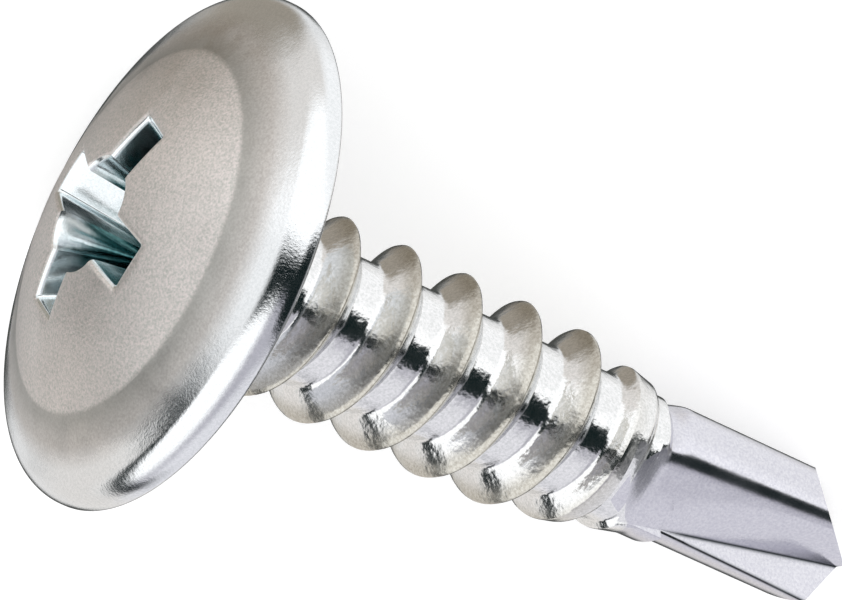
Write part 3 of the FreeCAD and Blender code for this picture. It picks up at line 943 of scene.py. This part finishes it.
def white_floor():
    """A pale matte board, lit to just over white, so that only the screw's shadow shows."""
    material = bpy.data.materials.new("white_board")
    material.use_nodes = True
    shader = material.node_tree.nodes["Principled BSDF"]
    shader.inputs["Base Color"].default_value = hex_color("F2F2F2")
    shader.inputs["Roughness"].default_value = 0.9
    shader.inputs["Emission Color"].default_value = hex_color("FFFFFF")
    shader.inputs["Emission Strength"].default_value = 0.35
    return material


def make_floor():
    """A square metre of white board under the screw, which the metal doesn't mirror."""
    bm = bmesh.new()
    bmesh.ops.create_grid(bm, x_segments=1, y_segments=1, size=0.5)
    floor = new_object("floor", bm)
    floor.data.materials.append(white_floor())
    floor.visible_glossy = False


# The studio as the metal mirrors it, in the part's frame. Two white tents meet in a dark gap over the
# screw. A dark edge shows low on the near side, and a grey board lies under it all, white far below.
GAP_NORMAL = (-0.098, 0.908, -0.407)
STUDIO_LIGHTS = {
    "dark": ("07191A", 1.0), "tent": ("FFFFFF", 1.35), "near tent": ("E4E2EC", 0.72),
    "board": ("DCD8D4", 1.24), "low board": ("FFFFFF", 0.9),
}
# Soft patches over them: where each lies, the cosines at which it starts and is full, its colour and level.
PATCHES = (
    ((0.77, -0.62, 0.14), 0.62, 0.9, ("F4F3F8", 1.0)),
    ((0.42, 0.85, -0.31), 0.72, 0.93, ("FFFFFF", 1.15)),
    ((-0.43, 0.24, -0.87), 0.87, 0.97, ("A59D91", 1.0)),
    ((0.239, -0.227, -0.944), 0.84, 0.95, ("4C4E4C", 1.0)),
)
# The studio's rule, one node a row: the result's name, what is done, and what it takes. x, y and z are
# the mirrored direction's, and side is its share across the gap. A SOFT STEP takes what it follows,
# where it starts and ends, and its value there.
STUDIO_RULE = (
    ("off gap", "ABSOLUTE", "side"),
    ("gap width", "SOFT STEP", "x", 0.4, 0.65, 0.0, 0.15),
    ("from gap", "SUBTRACT", "off gap", "gap width"),
    ("gap", "SOFT STEP", "from gap", 0.13, 0.23, 0.0, 1.0),
    ("gap end", "SOFT STEP", "x", -0.82, -1.0, 0.0, 0.8),
    ("gap foot", "SOFT STEP", "z", -0.45, -0.8, 0.0, 1.0),
    ("gap start", "SOFT STEP", "x", 0.82, 1.0, 0.0, 0.35),
    ("ends", "MAXIMUM", "gap end", "gap foot"),
    ("all ends", "MAXIMUM", "ends", "gap start"),
    ("past gap", "MAXIMUM", "gap", "all ends"),
    ("above edge", "ADD", "z", 0.03),
    ("off edge", "ABSOLUTE", "above edge"),
    ("edge", "SOFT STEP", "off edge", 0.06, 0.17, 0.0, 1.0),
    ("edge end", "SOFT STEP", "x", 0.15, 0.6, 0.0, 1.0),
    ("edge back", "SOFT STEP", "y", -0.45, -0.2, 0.0, 1.0),
    ("edge or end", "MAXIMUM", "edge", "edge end"),
    ("past edge", "MAXIMUM", "edge or end", "edge back"),
    ("light", "MULTIPLY", "past gap", "past edge"),
    ("near", "SOFT STEP", "x", -0.3, 0.2, 0.0, 1.0),
    ("far side", "SOFT STEP", "side", -0.05, 0.05, 0.0, 1.0),
    ("board", "SOFT STEP", "z", -0.02, -0.3, 0.0, 1.0),
    ("low board", "SOFT STEP", "z", -0.5, -0.95, 0.0, 1.0),
)
# Colours laid over each other: the result's name, its share, what it covers and what it shows.
STUDIO_LAYERS = (
    ("near tents", "near", "tent", "near tent"),
    ("tents", "far side", "near tents", "tent"),
    ("boards", "low board", "board", "low board"),
    ("room", "board", "tents", "boards"),
)


def glow(color, level):
    """A light's colour at its level."""
    return tuple(part * level for part in hex_color(color)[:3]) + (1.0,)


def make_studio():
    """The world: a plain white light, which the screw's metal mirrors as the tents and the board."""
    world = bpy.data.worlds.new("studio")
    bpy.context.scene.world = world
    world.use_nodes = True
    tree = world.node_tree
    tree.nodes.clear()
    way = add_node(tree, "ShaderNodeTexCoord").outputs["Generated"]
    axes = add_node(tree, "ShaderNodeSeparateXYZ", {0: way}).outputs
    inputs = {0: way, 1: GAP_NORMAL}
    side = add_node(tree, "ShaderNodeVectorMath", inputs, operation="DOT_PRODUCT").outputs[1]
    got = {"x": axes["X"], "y": axes["Y"], "z": axes["Z"], "side": side}
    for name, operation, *taken in STUDIO_RULE:
        kind, settings = "ShaderNodeMath", {"operation": operation}
        if operation == "SOFT STEP":
            kind, settings = "ShaderNodeMapRange", {"interpolation_type": "SMOOTHSTEP"}
        inputs = {i: got.get(item, item) for i, item in enumerate(taken)}
        got[name] = add_node(tree, kind, inputs, **settings).outputs[0]

    colors = {name: glow(*light) for name, light in STUDIO_LIGHTS.items()}
    for name, share, first, last in STUDIO_LAYERS:
        inputs = {0: got[share], 6: colors[first], 7: colors[last]}
        colors[name] = add_node(tree, "ShaderNodeMix", inputs, data_type="RGBA").outputs[2]
    room = colors["room"]
    for towards, start, full, light in PATCHES:
        inputs = {0: way, 1: towards}
        lean = add_node(tree, "ShaderNodeVectorMath", inputs, operation="DOT_PRODUCT").outputs[1]
        inputs = {"Value": lean, "From Min": start, "From Max": full}
        share = add_node(tree, "ShaderNodeMapRange", inputs, interpolation_type="SMOOTHSTEP").outputs[0]
        inputs = {0: share, 6: room, 7: glow(*light)}
        room = add_node(tree, "ShaderNodeMix", inputs, data_type="RGBA").outputs[2]
    inputs = {0: got["light"], 6: colors["dark"], 7: room}
    room = add_node(tree, "ShaderNodeMix", inputs, data_type="RGBA").outputs[2]

    mirrored = add_node(tree, "ShaderNodeBackground", {"Color": room}).outputs[0]
    plain = add_node(tree, "ShaderNodeBackground", {"Color": hex_color("FFFFFF")}).outputs[0]
    glossy = add_node(tree, "ShaderNodeLightPath").outputs["Is Glossy Ray"]
    mixed = add_node(tree, "ShaderNodeMixShader", {0: glossy, 1: plain, 2: mirrored}).outputs[0]
    add_node(tree, "ShaderNodeOutputWorld", {"Surface": mixed})


class SCREW_PT_panel(bpy.types.Panel):
    """The screw's tools and sizes, in the sidebar"""
    bl_label = "Screw"
    bl_idname = "SCREW_PT_panel"
    bl_space_type = "VIEW_3D"
    bl_region_type = "UI"
    bl_category = "Screw"

    def draw(self, context):
        self.layout.operator("screw.model")
        self.layout.operator("screw.stage")
        for name, group in GROUPS.items():
            box = self.layout.box()
            for size in group.__annotations__:
                box.prop(getattr(context.scene, name), size)


GROUPS = {
    "screw_thread": ThreadSizes,
    "screw_point": PointSizes,
    "screw_head": HeadSizes,
    "screw_recess": RecessSizes,
    "screw_colors": FinishColors,
}
CLASSES = (*GROUPS.values(), SCREW_OT_model, SCREW_OT_stage, SCREW_PT_panel)


def register():
    for cls in CLASSES:
        bpy.utils.register_class(cls)
    for name, group in GROUPS.items():
        setattr(bpy.types.Scene, name, PointerProperty(type=group))


def unregister():
    for name in GROUPS:
        delattr(bpy.types.Scene, name)
    for cls in reversed(CLASSES):
        bpy.utils.unregister_class(cls)


def main():
    register()
    bpy.context.scene.view_settings.view_transform = "Standard"
    bpy.ops.screw.model()
    bpy.ops.screw.stage()


if __name__ == "__main__":
    main()
